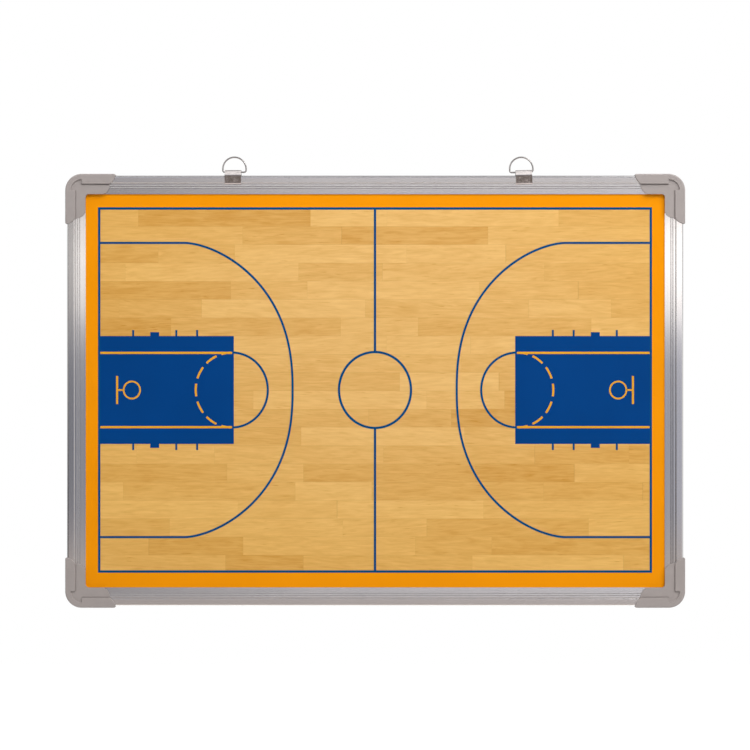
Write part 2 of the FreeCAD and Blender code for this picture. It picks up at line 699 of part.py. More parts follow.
# Checks before anything is written
for item in doc.Objects:
    if "Invalid" in item.State or "Error" in item.State:
        raise RuntimeError(f"{item.Name} failed to build: {item.State}")
    if item.isDerivedFrom("PartDesign::Pocket") and item.Shape.Volume > item.BaseFeature.Shape.Volume - CLOSE:
        raise RuntimeError(f"{item.Name} cuts nothing")
for node in nodes:
    if node.Shape.isNull() or not node.Shape.isValid():
        raise RuntimeError(f"{node.Label} has no valid shape")

os.makedirs("parts", exist_ok=True)
for node in nodes:
    node.Shape.exportStep(os.path.join("parts", node.Label + ".step"))
    print(node.Label, len(node.Shape.Solids), "solid", round(node.Shape.Volume, 2), "mm3")
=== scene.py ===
"""Looks of a framed magnetic court board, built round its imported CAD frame.

Laid out as a Blender add-on and run as a script. Metres throughout, in the frame of the CAD:
X to the right, Z up, Y into the wall, so the printed face looks along -Y.
"""

import math

import bpy
import numpy as np
from bpy.props import FloatProperty, FloatVectorProperty, PointerProperty
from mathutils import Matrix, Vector


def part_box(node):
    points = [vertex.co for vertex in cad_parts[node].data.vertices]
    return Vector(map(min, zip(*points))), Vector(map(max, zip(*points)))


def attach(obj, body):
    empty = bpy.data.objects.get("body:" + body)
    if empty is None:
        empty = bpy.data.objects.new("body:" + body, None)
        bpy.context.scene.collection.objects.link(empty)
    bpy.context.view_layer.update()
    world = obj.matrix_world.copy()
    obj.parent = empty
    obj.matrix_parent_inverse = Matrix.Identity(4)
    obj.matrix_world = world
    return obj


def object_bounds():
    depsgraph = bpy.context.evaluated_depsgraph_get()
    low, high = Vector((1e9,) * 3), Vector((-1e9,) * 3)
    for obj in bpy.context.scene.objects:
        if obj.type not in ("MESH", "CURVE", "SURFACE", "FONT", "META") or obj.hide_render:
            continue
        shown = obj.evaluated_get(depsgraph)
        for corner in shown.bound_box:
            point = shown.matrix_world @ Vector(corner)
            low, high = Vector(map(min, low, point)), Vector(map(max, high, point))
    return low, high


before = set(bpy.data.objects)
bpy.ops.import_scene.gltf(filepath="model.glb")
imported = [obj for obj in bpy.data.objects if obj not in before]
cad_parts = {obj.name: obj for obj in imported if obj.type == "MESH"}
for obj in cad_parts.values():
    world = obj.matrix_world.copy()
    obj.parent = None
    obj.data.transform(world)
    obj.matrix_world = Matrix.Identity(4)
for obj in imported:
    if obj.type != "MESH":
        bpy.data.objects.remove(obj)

bl_info = {
    "name": "Court Board Looks",
    "version": (1, 0, 0),
    "blender": (4, 5, 0),
    "location": "View3D > Sidebar > Court Board",
    "description": "Dresses the packed court board: printed film, rails, caps, hangers and studio",
    "category": "Object",
}

CAD_BOX = [list(corner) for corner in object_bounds()]
FILM_LOW, FILM_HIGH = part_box("court_film")
FILM_FACE = FILM_LOW.y
MM = 0.001


def linear(code):
    """Turns an sRGB hex colour into linear red, green and blue."""
    srgb = np.array([int(code[i:i + 2], 16) for i in (0, 2, 4)]) / 255
    low, high = srgb / 12.92, ((srgb + 0.055) / 1.055) ** 2.4
    return tuple(np.where(srgb <= 0.04045, low, high).tolist())


def colour(code, label, description):
    """A colour property whose default is an sRGB hex value."""
    return FloatVectorProperty(
        name=label, description=description, default=linear(code), subtype="COLOR", size=3, min=0, max=1
    )


def length(value_mm, label, description):
    """A length property, given in millimetres and kept in metres."""
    return FloatProperty(
        name=label, description=description, default=value_mm * MM, unit="LENGTH", precision=5
    )


def power(watts, label, description):
    """A lamp's power property, in watts."""
    return FloatProperty(name=label, description=description, default=watts, unit="POWER")


class CourtPrintSettings(bpy.types.PropertyGroup):
    """Sizes and ink colours of the printed court."""

    line_width: length(2.35, "Line width", "Width of the court's lines")
    court_half_width: length(267.35, "Court half width", "Middle of the board to the end line")
    court_half_height: length(175.95, "Court half height", "Middle of the board to the side line")
    border_half_width: length(280.5, "Border half width", "Middle of the board to the side rails")
    border_half_height: length(190.5, "Border half height", "Middle of the board to the top rail")
    row_height: length(17.7, "Floor row height", "Height of one row of printed floor boards")
    board_length: length(128.0, "Floor board length", "Mean length of the printed floor boards")
    border_ink: colour("F79803", "Border ink", "Orange round the court")
    line_ink: colour("03487C", "Line ink", "Blue of the court's lines")
    key_ink: colour("003F81", "Key ink", "Blue of the two keys")
    mark_ink: colour("E8A52C", "Mark ink", "Light orange of the marks in the keys")
    maple_light: colour("EBBC74", "Light maple", "Palest printed floor board")
    maple_dark: colour("D49E52", "Dark maple", "Darkest printed floor board")


class FrameFinishSettings(bpy.types.PropertyGroup):
    """Colours of the frame's metals and mouldings."""

    rail_metal: colour("CFCDCC", "Rail metal", "Satin anodised aluminium of the rails")
    cap_plastic: colour("A19895", "Cap plastic", "Warm grey moulding of the corner caps")
    key_plastic: colour("26272A", "Corner key plastic", "Dark moulding of the keys inside the rails")
    strip_metal: colour("D2CBC9", "Clip metal", "Bright nickel plate of the clips")
    wire_metal: colour("AAA6A4", "Ring metal", "Nickel plate of the D-rings")
    screw_metal: colour("BDBBB4", "Screw metal", "Zinc plate of the screws")
    backing_metal: colour("A9ADB0", "Backing metal", "Galvanised sheet behind the panel")


class StudioSettings(bpy.types.PropertyGroup):
    """Camera, lamps and floor."""

    camera_distance: length(2000.0, "Camera distance", "Camera to the printed face")
    field_width: length(727.0, "Field width", "Width of the picture at the printed face")
    view_right: length(-0.2, "View right", "Picture's middle, right of the board's middle")
    view_up: length(15.3, "View up", "Picture's middle, above the board's middle")
    key_power: power(50.0, "Key power", "Soft box at the upper right")
    fill_power: power(4.8, "Fill power", "Soft box at the left")
    top_power: power(17.0, "Top power", "Scrim over the board")
    back_power: power(40.0, "Back power", "Soft box behind the board")
    hair_power: power(2.7, "Hair power", "Slim box over the hangers")
    strip_level: FloatProperty(name="Strip level", description="Lit strip over the lens", default=1.5)
    sky_level: FloatProperty(name="Room level", description="Even light of the pale room", default=0.20)
    floor_drop: length(900.0, "Floor drop", "Floor below the hung board")
    floor_colour: colour("F4F4F2", "Floor", "Plain pale floor")


SETTINGS = {
    "court_print": CourtPrintSettings,
    "frame_finish": FrameFinishSettings,
    "court_studio": StudioSettings,
}


def add(tree, kind, inputs=None, **settings):
    """Adds a node with its settings; each input is a value or the output socket it links from.

    An input goes by its name, or by its number where a node has several of one name: 0 is a Mix's
    factor, 2 and 3 are its two numbers, 6 and 7 its two colours, and output 2 is its mixed colour.
    """
    node = tree.nodes.new(kind)
    for key, value in settings.items():
        setattr(node, key, value)
    for socket, value in (inputs or {}).items():
        if isinstance(value, bpy.types.NodeSocket):
            tree.links.new(value, node.inputs[socket])
        else:
            node.inputs[socket].default_value = value
    return node


def new_material(name):
    """An empty node material: (material, its node tree, Object coordinates in metres)."""
    material = bpy.data.materials.new(name)
    material.use_nodes = True
    tree = material.node_tree
    tree.nodes.clear()
    place = add(tree, "ShaderNodeTexCoord").outputs["Object"]
    return material, tree, place


def shades(tone, low, high):
    """A colour times two factors, as the two colours of a Mix."""
    return {6: (*(c * low for c in tone), 1), 7: (*(c * high for c in tone), 1)}


def dress(material, *names):
    """Gives CAD nodes a material through their material slots."""
    for name in names:
        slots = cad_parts[name].data.materials
        slots.clear()
        slots.append(material)


def laid_mesh(name, pieces, material, body):
    """One object from several closed surfaces, each (points, quads).

    A surface whose signed volume is below zero has its faces turned round, so that all face outward.
    """
    points, quads, start = [], [], 0
    for place, faces in pieces:
        a, b, c, d = (place[faces[:, i]] for i in range(4))
        turned = np.einsum("ij,ij->", a, np.cross(b, c) + np.cross(c, d)) < 0
        quads.append((faces[:, ::-1] if turned else faces) + start)
        points.append(place)
        start += len(place)
    mesh = bpy.data.meshes.new(name)
    mesh.from_pydata(np.concatenate(points).tolist(), [], np.concatenate(quads).tolist())
    mesh.materials.append(material)
    piece = bpy.data.objects.new(name, mesh)
    bpy.context.scene.collection.objects.link(piece)
    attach(piece, body)
    return piece


def band_quads(count, closed):
    """Quads of a four-sided band: each joins sides k and k + 1 of one path point to those of the next."""
    i = np.arange(count if closed else count - 1)[:, None]
    k = np.arange(4)[None, :]
    j, n = (i + 1) % count, (k + 1) % 4
    return np.stack([i * 4 + k, j * 4 + k, j * 4 + n, i * 4 + n], -1).reshape(-1, 4)


def ink_line(path, width, lift, closed=False):
    """A flat band of ink: a rectangle carried along a path (x, z) in the face of the film.

    Each path point moves half the width to both sides along the mean normal of its two runs,
    lengthened by one over the cosine of half the turn so that corners are mitred. The band rises
    from the film's face by lift towards -Y.
    """
    path = np.asarray(path, float)
    runs = np.roll(path, -1, 0) - path
    if not closed:
        runs[-1] = runs[-2]
    runs /= np.linalg.norm(runs, axis=1, keepdims=True)
    before = np.roll(runs, 1, 0)
    if not closed:
        before[0] = runs[0]
    normal = np.stack([-runs[:, 1], runs[:, 0]], 1) + np.stack([-before[:, 1], before[:, 0]], 1)
    normal /= 1 + np.sum(runs * before, 1, keepdims=True)
    across = np.array([-0.5, -0.5, 0.5, 0.5]) * width
    rise = np.array([FILM_FACE, FILM_FACE - lift, FILM_FACE - lift, FILM_FACE])
    flat = path[:, None, :] + normal[:, None, :] * across[None, :, None]
    points = np.stack([flat[..., 0], np.broadcast_to(rise, flat.shape[:2]), flat[..., 1]], -1)
    quads = band_quads(len(path), closed)
    if not closed:
        last = (len(path) - 1) * 4
        quads = np.vstack([quads, [[0, 1, 2, 3], [last + 3, last + 2, last + 1, last]]])
    return points.reshape(-1, 3), quads


def ellipse(middle, half_x, half_z, start, end, steps):
    """Points (x, z) on an ellipse, from a start to an end angle in degrees from +X."""
    turn = np.radians(np.linspace(start, end, steps))
    return np.stack([middle[0] + half_x * np.cos(turn), middle[1] + half_z * np.sin(turn)], 1)


def film_face(tree, place, tone):
    """Calendered gloss of the dry-wipe film over a print, as the end of its material.

    A smooth plastic face with a faint orange peel about 6 mm across, which gives a soft wide shine.
    """
    peel = add(tree, "ShaderNodeTexNoise", {"Vector": place, "Scale": 1 / (6 * MM), "Detail": 1.0})
    bump = add(tree, "ShaderNodeBump", {"Height": peel.outputs[0], "Strength": 0.08, "Distance": 0.05 * MM})
    shader = add(
        tree, "ShaderNodeBsdfPrincipled",
        {"Base Color": tone, "Roughness": 0.28, "IOR": 1.49, "Specular IOR Level": 0.06,
         "Normal": bump.outputs["Normal"]},
    )
    add(tree, "ShaderNodeOutputMaterial", {"Surface": shader.outputs["BSDF"]})


# The wood's patterns: size along and across the board in millimetres, detail and distortion of
# the noise, the part of its range that shows, and what that adds to the board's tone.
WOOD_PATTERNS = {
    "figure": ((28, 5.2), 3.0, 0.9, (0.3, 0.7), (-0.22, 0.20)),
    "dark fleck": ((14, 0.8), 1.0, 0.0, (0.70, 0.80), (0.0, -0.8)),
    "grain": ((17, 1.4), 4.0, 0.0, (0.3, 0.7), (-0.21, 0.19)),
}
JOINT_HALF = 0.177 * MM


def maple_floor_print(settings):
    """Maple floor printed on dry-wipe film.

    Rows of boards in close honey tones, with fine grain along each board and hairline joints.
    """
    material, tree, place = new_material("printed_maple_floor_film")
    axes = add(tree, "ShaderNodeSeparateXYZ", {"Vector": place})
    rows = add(
        tree, "ShaderNodeMath", {0: axes.outputs["Z"], 1: settings.row_height}, operation="DIVIDE"
    )
    row = add(tree, "ShaderNodeMath", {0: rows.outputs[0]}, operation="FLOOR")
    row_chance = add(tree, "ShaderNodeTexWhiteNoise", {"W": row.outputs[0]}, noise_dimensions="1D")
    # Each row starts its boards at its own place, and a wave along the row makes their lengths unlike.
    along = add(
        tree, "ShaderNodeMath", {0: axes.outputs["X"], 1: settings.board_length}, operation="DIVIDE"
    )
    slid = add(
        tree, "ShaderNodeMath", {0: row_chance.outputs["Value"], 1: 17.0, 2: along.outputs[0]},
        operation="MULTIPLY_ADD",
    )
    phase = add(tree, "ShaderNodeMath", {0: slid.outputs[0], 1: 3.7}, operation="MULTIPLY")
    wave = add(tree, "ShaderNodeMath", {0: phase.outputs[0]}, operation="SINE")
    boards = add(
        tree, "ShaderNodeMath", {0: wave.outputs[0], 1: 0.24, 2: slid.outputs[0]},
        operation="MULTIPLY_ADD",
    )
    board = add(tree, "ShaderNodeMath", {0: boards.outputs[0]}, operation="FLOOR")
    which = add(tree, "ShaderNodeCombineXYZ", {"X": row.outputs[0], "Y": board.outputs[0]})
    chance = add(tree, "ShaderNodeTexWhiteNoise", {"Vector": which.outputs[0]}, noise_dimensions="2D")
    # Each board is sawn a few degrees off the grain, and from its own piece of wood.
    moved = add(
        tree, "ShaderNodeVectorMath", {0: chance.outputs["Color"], 1: (3.0, 3.0, 3.0), 2: place},
        operation="MULTIPLY_ADD",
    )
    slant = add(
        tree, "ShaderNodeMapRange",
        {"Value": row_chance.outputs["Value"], "To Min": -0.06, "To Max": 0.06},
    )
    sawn = add(
        tree, "ShaderNodeVectorRotate", {"Vector": moved.outputs[0], "Angle": slant.outputs[0]},
        rotation_type="Y_AXIS",
    )
    # Pale boards are more common than dark ones.
    skewed = add(tree, "ShaderNodeMath", {0: chance.outputs["Value"], 1: 0.65}, operation="POWER")
    tone = add(tree, "ShaderNodeMapRange", {"Value": skewed.outputs[0], "To Min": 0.08, "To Max": 1.0})
    for size, detail, distortion, shown, change in WOOD_PATTERNS.values():
        scale = (1 / (size[0] * MM), 1, 1 / (size[1] * MM))
        laid = add(tree, "ShaderNodeMapping", {"Vector": sawn.outputs[0], "Scale": scale})
        wood = add(
            tree, "ShaderNodeTexNoise",
            {"Vector": laid.outputs[0], "Scale": 1.0, "Detail": detail, "Distortion": distortion},
        )
        added = add(
            tree, "ShaderNodeMapRange",
            {"Value": wood.outputs[0], "From Min": shown[0], "From Max": shown[1],
             "To Min": change[0], "To Max": change[1]},
        )
        tone = add(tree, "ShaderNodeMath", {0: tone.outputs[0], 1: added.outputs[0]}, operation="ADD")
    plain = add(
        tree, "ShaderNodeMix",
        {0: tone.outputs[0], 6: (*settings.maple_dark, 1), 7: (*settings.maple_light, 1)},
        data_type="RGBA", clamp_factor=False,
    )
    # Towards its corners, most of all the lower ones, the colour is multiplied down in green and blue, so
    # the print turns deeper and darker there.
    spread = add(
        tree, "ShaderNodeMapping",
        {"Vector": place, "Location": (-0.1, 0, -0.3), "Scale": (1 / FILM_HIGH.x, 0, 1 / FILM_HIGH.z)},
    )
    reach = add(tree, "ShaderNodeVectorMath", {0: spread.outputs[0]}, operation="LENGTH")
    corner = add(
        tree, "ShaderNodeMapRange", {"Value": reach.outputs["Value"], "From Min": 0.3, "From Max": 1.3},
        interpolation_type="SMOOTHSTEP",
    )
    maple = add(
        tree, "ShaderNodeMix", {0: corner.outputs[0], 6: plain.outputs[2], 7: (1.0, 0.97, 0.80, 1)},
        data_type="RGBA", blend_type="MULTIPLY",
    )
    # Joints: a faint hairline about 0.35 mm wide between rows and at the ends of boards.
    joints = []
    for parts, whole in ((rows, settings.row_height), (boards, settings.board_length)):
        part = add(tree, "ShaderNodeMath", {0: parts.outputs[0], 1: 0.5}, operation="PINGPONG")
        near = {0: part.outputs[0], 1: JOINT_HALF / whole}
        joints.append(add(tree, "ShaderNodeMath", near, operation="LESS_THAN").outputs[0])
    joint = add(tree, "ShaderNodeMath", dict(enumerate(joints)), operation="MAXIMUM")
    faint = add(tree, "ShaderNodeMath", {0: joint.outputs[0], 1: 0.14}, operation="MULTIPLY")
    jointed = add(
        tree, "ShaderNodeMix", {0: faint.outputs[0], 6: maple.outputs[2], 7: (*linear("8F6326"), 1)},
        data_type="RGBA",
    )
    film_face(tree, place, jointed.outputs[2])
    return material


def printed_ink(name, ink, depth):
    """Screen ink under the same film: an even colour whose density varies by depth.

    It drifts over centimetres, and is faintly stippled where the ink went through the screen's mesh.
    """
    material, tree, place = new_material(name)
    drift = add(tree, "ShaderNodeTexNoise", {"Vector": place, "Scale": 1 / (55 * MM), "Detail": 2.0})
    # Screen mesh of about 0.1 mm is too fine to show, so the stipple is drawn at 0.9 mm.
    stipple = add(tree, "ShaderNodeTexNoise", {"Vector": place, "Scale": 1 / (0.9 * MM), "Detail": 1.0})
    both = add(
        tree, "ShaderNodeMath", {0: stipple.outputs[0], 1: 0.5, 2: drift.outputs[0]},
        operation="MULTIPLY_ADD",
    )
    density = add(
        tree, "ShaderNodeMapRange",
        {"Value": both.outputs[0], "From Min": 0.45, "From Max": 1.05,
         "To Min": 1 - depth, "To Max": 1 + depth},
    )
    shade = add(
        tree, "ShaderNodeVectorMath", {0: tuple(ink), "Scale": density.outputs[0]}, operation="SCALE"
    )
    film_face(tree, place, shade.outputs[0])
    return material


def anodised_extrusion(name, metal, run, stretch):
    """Aluminium, extruded and satin anodised: a silky grey with fine die lines along the rail.

    They smear reflections across the rail and leave them sharp along it. run is the axis of the
    rail, and stretch has its low number there.
    """
    material, tree, place = new_material(name)
    drawn = add(tree, "ShaderNodeMapping", {"Vector": place, "Scale": stretch})
    # Die lines are about 0.1 mm apart; they are drawn at 0.5 mm to show in the picture.
    lines = add(
        tree, "ShaderNodeTexNoise", {"Vector": drawn.outputs[0], "Scale": 1 / (0.5 * MM), "Detail": 2.0}
    )
    cloud = add(tree, "ShaderNodeTexNoise", {"Vector": place, "Scale": 1 / (40 * MM), "Detail": 3.0})
    tint = add(tree, "ShaderNodeMix", {0: lines.outputs[0], **shades(metal, 0.88, 1.06)}, data_type="RGBA")
    matt = add(
        tree, "ShaderNodeMapRange",
        {"Value": cloud.outputs[0], "From Min": 0.3, "From Max": 0.7, "To Min": 0.16, "To Max": 0.19},
    )
    across = add(tree, "ShaderNodeTangent", direction_type="RADIAL", axis=run)
    bump = add(
        tree, "ShaderNodeBump", {"Height": lines.outputs[0], "Strength": 0.25, "Distance": 0.02 * MM}
    )
    shader = add(
        tree, "ShaderNodeBsdfPrincipled",
        {"Base Color": tint.outputs[2], "Metallic": 1.0, "Roughness": matt.outputs[0], "Anisotropic": 0.9,
         "Tangent": across.outputs[0], "Normal": bump.outputs["Normal"]},
    )
    add(tree, "ShaderNodeOutputMaterial", {"Surface": shader.outputs["BSDF"]})
    return material


def moulded_plastic(name, plastic, roughness, grit):
    """Injection-moulded ABS or nylon with a spark-eroded mould texture.

    A soft even colour with a slight flow drift, and a fine grit that breaks the highlight. The same
    grit at another size gives the coil coating of the steel sheet.
    """
    material, tree, place = new_material(name)
    flow = add(
        tree, "ShaderNodeTexNoise",
        {"Vector": place, "Scale": 1 / (14 * MM), "Detail": 2.0, "Distortion": 0.8},
    )
    spark = add(tree, "ShaderNodeTexNoise", {"Vector": place, "Scale": 1 / grit, "Detail": 2.0})
    tint = add(tree, "ShaderNodeMix", {0: flow.outputs[0], **shades(plastic, 0.93, 1.07)}, data_type="RGBA")
    matt = add(
        tree, "ShaderNodeMapRange",
        {"Value": spark.outputs[0], "From Min": 0.3, "From Max": 0.7,
         "To Min": roughness - 0.05, "To Max": roughness + 0.05},
    )
    bump = add(
        tree, "ShaderNodeBump", {"Height": spark.outputs[0], "Strength": 0.35, "Distance": 0.03 * MM}
    )
    shader = add(
        tree, "ShaderNodeBsdfPrincipled",
        {"Base Color": tint.outputs[2], "Roughness": matt.outputs[0], "IOR": 1.54,
         "Normal": bump.outputs["Normal"]},
    )
    add(tree, "ShaderNodeOutputMaterial", {"Surface": shader.outputs["BSDF"]})
    return material


def plated_steel(name, metal, roughness, ripple):
    """Steel with bright nickel or zinc plate.

    A mirror in the metal's own tone, rippled by the rolled or drawn steel below and a little hazed
    by handling.
    """
    material, tree, place = new_material(name)
    rolled = add(tree, "ShaderNodeTexNoise", {"Vector": place, "Scale": 1 / ripple, "Detail": 2.0})
    haze = add(tree, "ShaderNodeTexNoise", {"Vector": place, "Scale": 1 / (2.5 * MM), "Detail": 3.0})
    tint = add(tree, "ShaderNodeMix", {0: haze.outputs[0], **shades(metal, 0.86, 1.05)}, data_type="RGBA")
    matt = add(
        tree, "ShaderNodeMapRange",
        {"Value": haze.outputs[0], "From Min": 0.35, "From Max": 0.7,
         "To Min": roughness * 0.7, "To Max": roughness * 1.4},
    )
    bump = add(
        tree, "ShaderNodeBump", {"Height": rolled.outputs[0], "Strength": 0.15, "Distance": 0.05 * MM}
    )
    shader = add(
        tree, "ShaderNodeBsdfPrincipled",
        {"Base Color": tint.outputs[2], "Metallic": 1.0, "Roughness": matt.outputs[0],
         "Normal": bump.outputs["Normal"]},
    )
    add(tree, "ShaderNodeOutputMaterial", {"Surface": shader.outputs["BSDF"]})
    return material


def galvanised_sheet(metal):
    """Hot-dip galvanised steel: spangle, crystals of zinc about 7 mm across, each its own grey."""
    material, tree, place = new_material("galvanised_steel_spangle")
    bent = add(tree, "ShaderNodeTexNoise", {"Vector": place, "Scale": 1 / (9 * MM), "Detail": 2.0})
    warped = add(
        tree, "ShaderNodeVectorMath", {0: bent.outputs["Color"], 1: (5 * MM, 5 * MM, 5 * MM), 2: place},
        operation="MULTIPLY_ADD",
    )
    crystal = add(tree, "ShaderNodeTexVoronoi", {"Vector": warped.outputs[0], "Scale": 1 / (7 * MM)})
    grey = add(tree, "ShaderNodeSeparateColor", {0: crystal.outputs["Color"]})
    tint = add(tree, "ShaderNodeMix", {0: grey.outputs[0], **shades(metal, 0.86, 1.06)}, data_type="RGBA")
    matt = add(tree, "ShaderNodeMapRange", {"Value": grey.outputs[1], "To Min": 0.36, "To Max": 0.52})
    bump = add(tree, "ShaderNodeBump", {"Height": grey.outputs[2], "Strength": 0.10, "Distance": 0.02 * MM})
    shader = add(
        tree, "ShaderNodeBsdfPrincipled",
        {"Base Color": tint.outputs[2], "Metallic": 1.0, "Roughness": matt.outputs[0],
         "Normal": bump.outputs["Normal"]},
    )
    add(tree, "ShaderNodeOutputMaterial", {"Surface": shader.outputs["BSDF"]})
    return material


def fibre_board():
    """Pressed fibre board, raw: brown specks of wood fibre in a dry matt face."""
    material, tree, place = new_material("pressed_fibre_board")
    fibre = add(tree, "ShaderNodeTexNoise", {"Vector": place, "Scale": 1 / (1.5 * MM), "Detail": 5.0})
    tint = add(
        tree, "ShaderNodeMix",
        {0: fibre.outputs[0], 6: (*linear("8A6C49"), 1), 7: (*linear("C9A97E"), 1)}, data_type="RGBA",
    )
    bump = add(tree, "ShaderNodeBump", {"Height": fibre.outputs[0], "Strength": 0.4, "Distance": 0.1 * MM})
    shader = add(
        tree, "ShaderNodeBsdfPrincipled",
        {"Base Color": tint.outputs[2], "Roughness": 0.85, "Normal": bump.outputs["Normal"]},
    )
    add(tree, "ShaderNodeOutputMaterial", {"Surface": shader.outputs["BSDF"]})
    return material


# Heights of the ink over the film, each colour laid on the one before
BORDER_LIFT, KEY_LIFT, LINE_LIFT = 0.020 * MM, 0.025 * MM, 0.035 * MM
MARK_LIFT, DASH_LIFT = 0.045 * MM, 0.050 * MM
# Middle of the court in the frame of the CAD, as the print sits in its rails
COURT_MIDDLE = np.array([-0.2, 0.75]) * MM

# The court as printed, in millimetres from its middle; -1 is its left end and 1 its right end.
KEY_EDGE = {-1: 136.83, 1: 135.85}
KEY_HEIGHT = 104.6
BLOCK_RUN, BLOCK_HEIGHT, BLOCK_WIDTH = (217.9, 209.2), 54.2, 3.8
TICK_PLACES, TICK_RUN, TICK_WIDTH = (234.4, 192.6, 172.4), (52.3, 58.2), 2.0
CENTRE_HALF = (34.9, 36.8)
BOW_MIDDLE, BOW_HALF = {-1: 138.85, 1: 137.9}, (34.95, 36.3)
ARCH_MIDDLE, ARCH_REACH, ARCH_HEIGHT = {-1: 184.4, 1: 184.2}, {-1: 104.5, 1: 105.0}, 142.6
ARCH_POWERS = (1.65, 2.38)
CURVE_WIDTH = 2.2
LANE_HEIGHT, LANE_STOP, LANE_WIDTH = 36.0, 1.8, 2.15
BACKBOARD_PLACE, BACKBOARD_HALF, BACKBOARD_WIDTH = 250.0, 13.6, 2.0
NECK_RUN, HOOP_MIDDLE, HOOP_HALF, HOOP_WIDTH = (249.0, 244.2), 235.7, (8.0, 8.3), 1.6
# Dashes in degrees round the half circle: where each starts and ends, the outermost in the lane lines.
DASH_PLACES, DASH_HALF, DASH_WIDTH = (-55.3, -27.7, 0.0, 27.7, 55.3), 9.65, 2.0
DASH_SPANS = [(-73.4, -88.0), *((at - DASH_HALF, at + DASH_HALF) for at in DASH_PLACES), (73.4, 88.0)]
# Points along the curves
CIRCLE_STEPS, ARCH_STEPS, HOOP_STEPS, DASH_STEPS = 97, 161, 49, 13


def court(points):
    """Points (x right, z up) from the middle of the court in millimetres, in the frame of the CAD."""
    return np.asarray(points, float) * MM + COURT_MIDDLE


class BOARD_OT_court_film(bpy.types.Operator):
    """Printed maple floor on the dry-wipe film."""

    bl_idname = "court_board.court_film"
    bl_label = "Court film"

    def execute(self, context):
        dress(maple_floor_print(context.scene.court_print), "court_film")
        return {"FINISHED"}


class BOARD_OT_border(bpy.types.Operator):
    """Orange border from the court's outline out to the rails."""

    bl_idname = "court_board.border"
    bl_label = "Orange border"

    def execute(self, context):
        settings = context.scene.court_print
        ink = printed_ink("orange_screen_ink", settings.border_ink, 0.035)
        inner = np.array([settings.court_half_width, settings.court_half_height])
        outer = np.array([settings.border_half_width, settings.border_half_height])
        corners = np.array([[-1, -1], [1, -1], [1, 1], [-1, 1]])
        # A frame of four mitred sides: the inner rectangle is the court's outline, the outer the rails.
        flat = np.stack([corners * inner + COURT_MIDDLE, corners * outer], 1)[:, [0, 0, 1, 1]]
        rise = FILM_FACE - np.array([0, BORDER_LIFT, BORDER_LIFT, 0])
        points = np.stack([flat[..., 0], np.broadcast_to(rise, flat.shape[:2]), flat[..., 1]], -1)
        mitred_frame = (points.reshape(-1, 3), band_quads(len(corners), closed=True))
        laid_mesh("court_border", [mitred_frame], ink, "board")
        return {"FINISHED"}


class BOARD_OT_keys(bpy.types.Operator):
    """Blue keys at both ends, with the blocks beside their lanes."""

    bl_idname = "court_board.keys"
    bl_label = "Blue keys"

    def execute(self, context):
        settings = context.scene.court_print
        ink = printed_ink("blue_screen_ink", settings.key_ink, 0.06)
        end_line = settings.court_half_width / MM
        bands = []
        for side, edge in KEY_EDGE.items():
            key = [[side * end_line, 0], [side * edge, 0]]
            bands.append(ink_line(court(key), KEY_HEIGHT * MM, KEY_LIFT))
            for z in (-BLOCK_HEIGHT, BLOCK_HEIGHT):
                block = [[side * x, z] for x in BLOCK_RUN]
                bands.append(ink_line(court(block), BLOCK_WIDTH * MM, KEY_LIFT))
        laid_mesh("court_keys", bands, ink, "board")
        return {"FINISHED"}


class BOARD_OT_lines(bpy.types.Operator):
    """Blue outline, halfway line, circles, three-point lines and lane ticks."""

    bl_idname = "court_board.lines"
    bl_label = "Court lines"

    def execute(self, context):
        settings = context.scene.court_print
        ink = printed_ink("line_blue_screen_ink", settings.line_ink, 0.08)
        width = settings.line_width
        end_line, side_line = settings.court_half_width / MM, settings.court_half_height / MM
        half = width / MM / 2
        corners = np.array([[-1, -1], [1, -1], [1, 1], [-1, 1]]) * (end_line, side_line)
        bands = [ink_line(court(corners), width, LINE_LIFT, closed=True)]
        circle = ellipse((0, 0), *CENTRE_HALF, 0, 360, CIRCLE_STEPS)[:-1]
        bands.append(ink_line(court(circle), width, LINE_LIFT, closed=True))
        for up in (-1, 1):
            halfway = [[0, up * (CENTRE_HALF[1] + half)], [0, up * (side_line - half)]]
            bands.append(ink_line(court(halfway), width, LINE_LIFT))
        for side, middle in ARCH_MIDDLE.items():
            # Three-point line: straight runs joined by a rounded arch, |x/a|^p + |z/b|^q = 1.
            turn = np.sin(np.linspace(-1, 1, ARCH_STEPS) * np.pi / 2)
            deep = ARCH_REACH[side] * (1 - np.abs(turn) ** ARCH_POWERS[1]) ** (1 / ARCH_POWERS[0])
            arch = np.stack([side * (middle - deep), ARCH_HEIGHT * turn], 1)
            end = side * (end_line - half)
            path = np.vstack([[[end, -ARCH_HEIGHT]], arch, [[end, ARCH_HEIGHT]]])
            bands.append(ink_line(court(path), CURVE_WIDTH * MM, LINE_LIFT))
        for side, middle in BOW_MIDDLE.items():
            start = side * 90
            bow = ellipse((side * middle, 0), *BOW_HALF, start, start + 180, CIRCLE_STEPS)
            bands.append(ink_line(court(bow), CURVE_WIDTH * MM, LINE_LIFT))
            for x in TICK_PLACES:
                for up in (-1, 1):
                    tick = [[side * x, up * z] for z in TICK_RUN]
                    bands.append(ink_line(court(tick), TICK_WIDTH * MM, LINE_LIFT))
        laid_mesh("court_lines", bands, ink, "board")
        return {"FINISHED"}


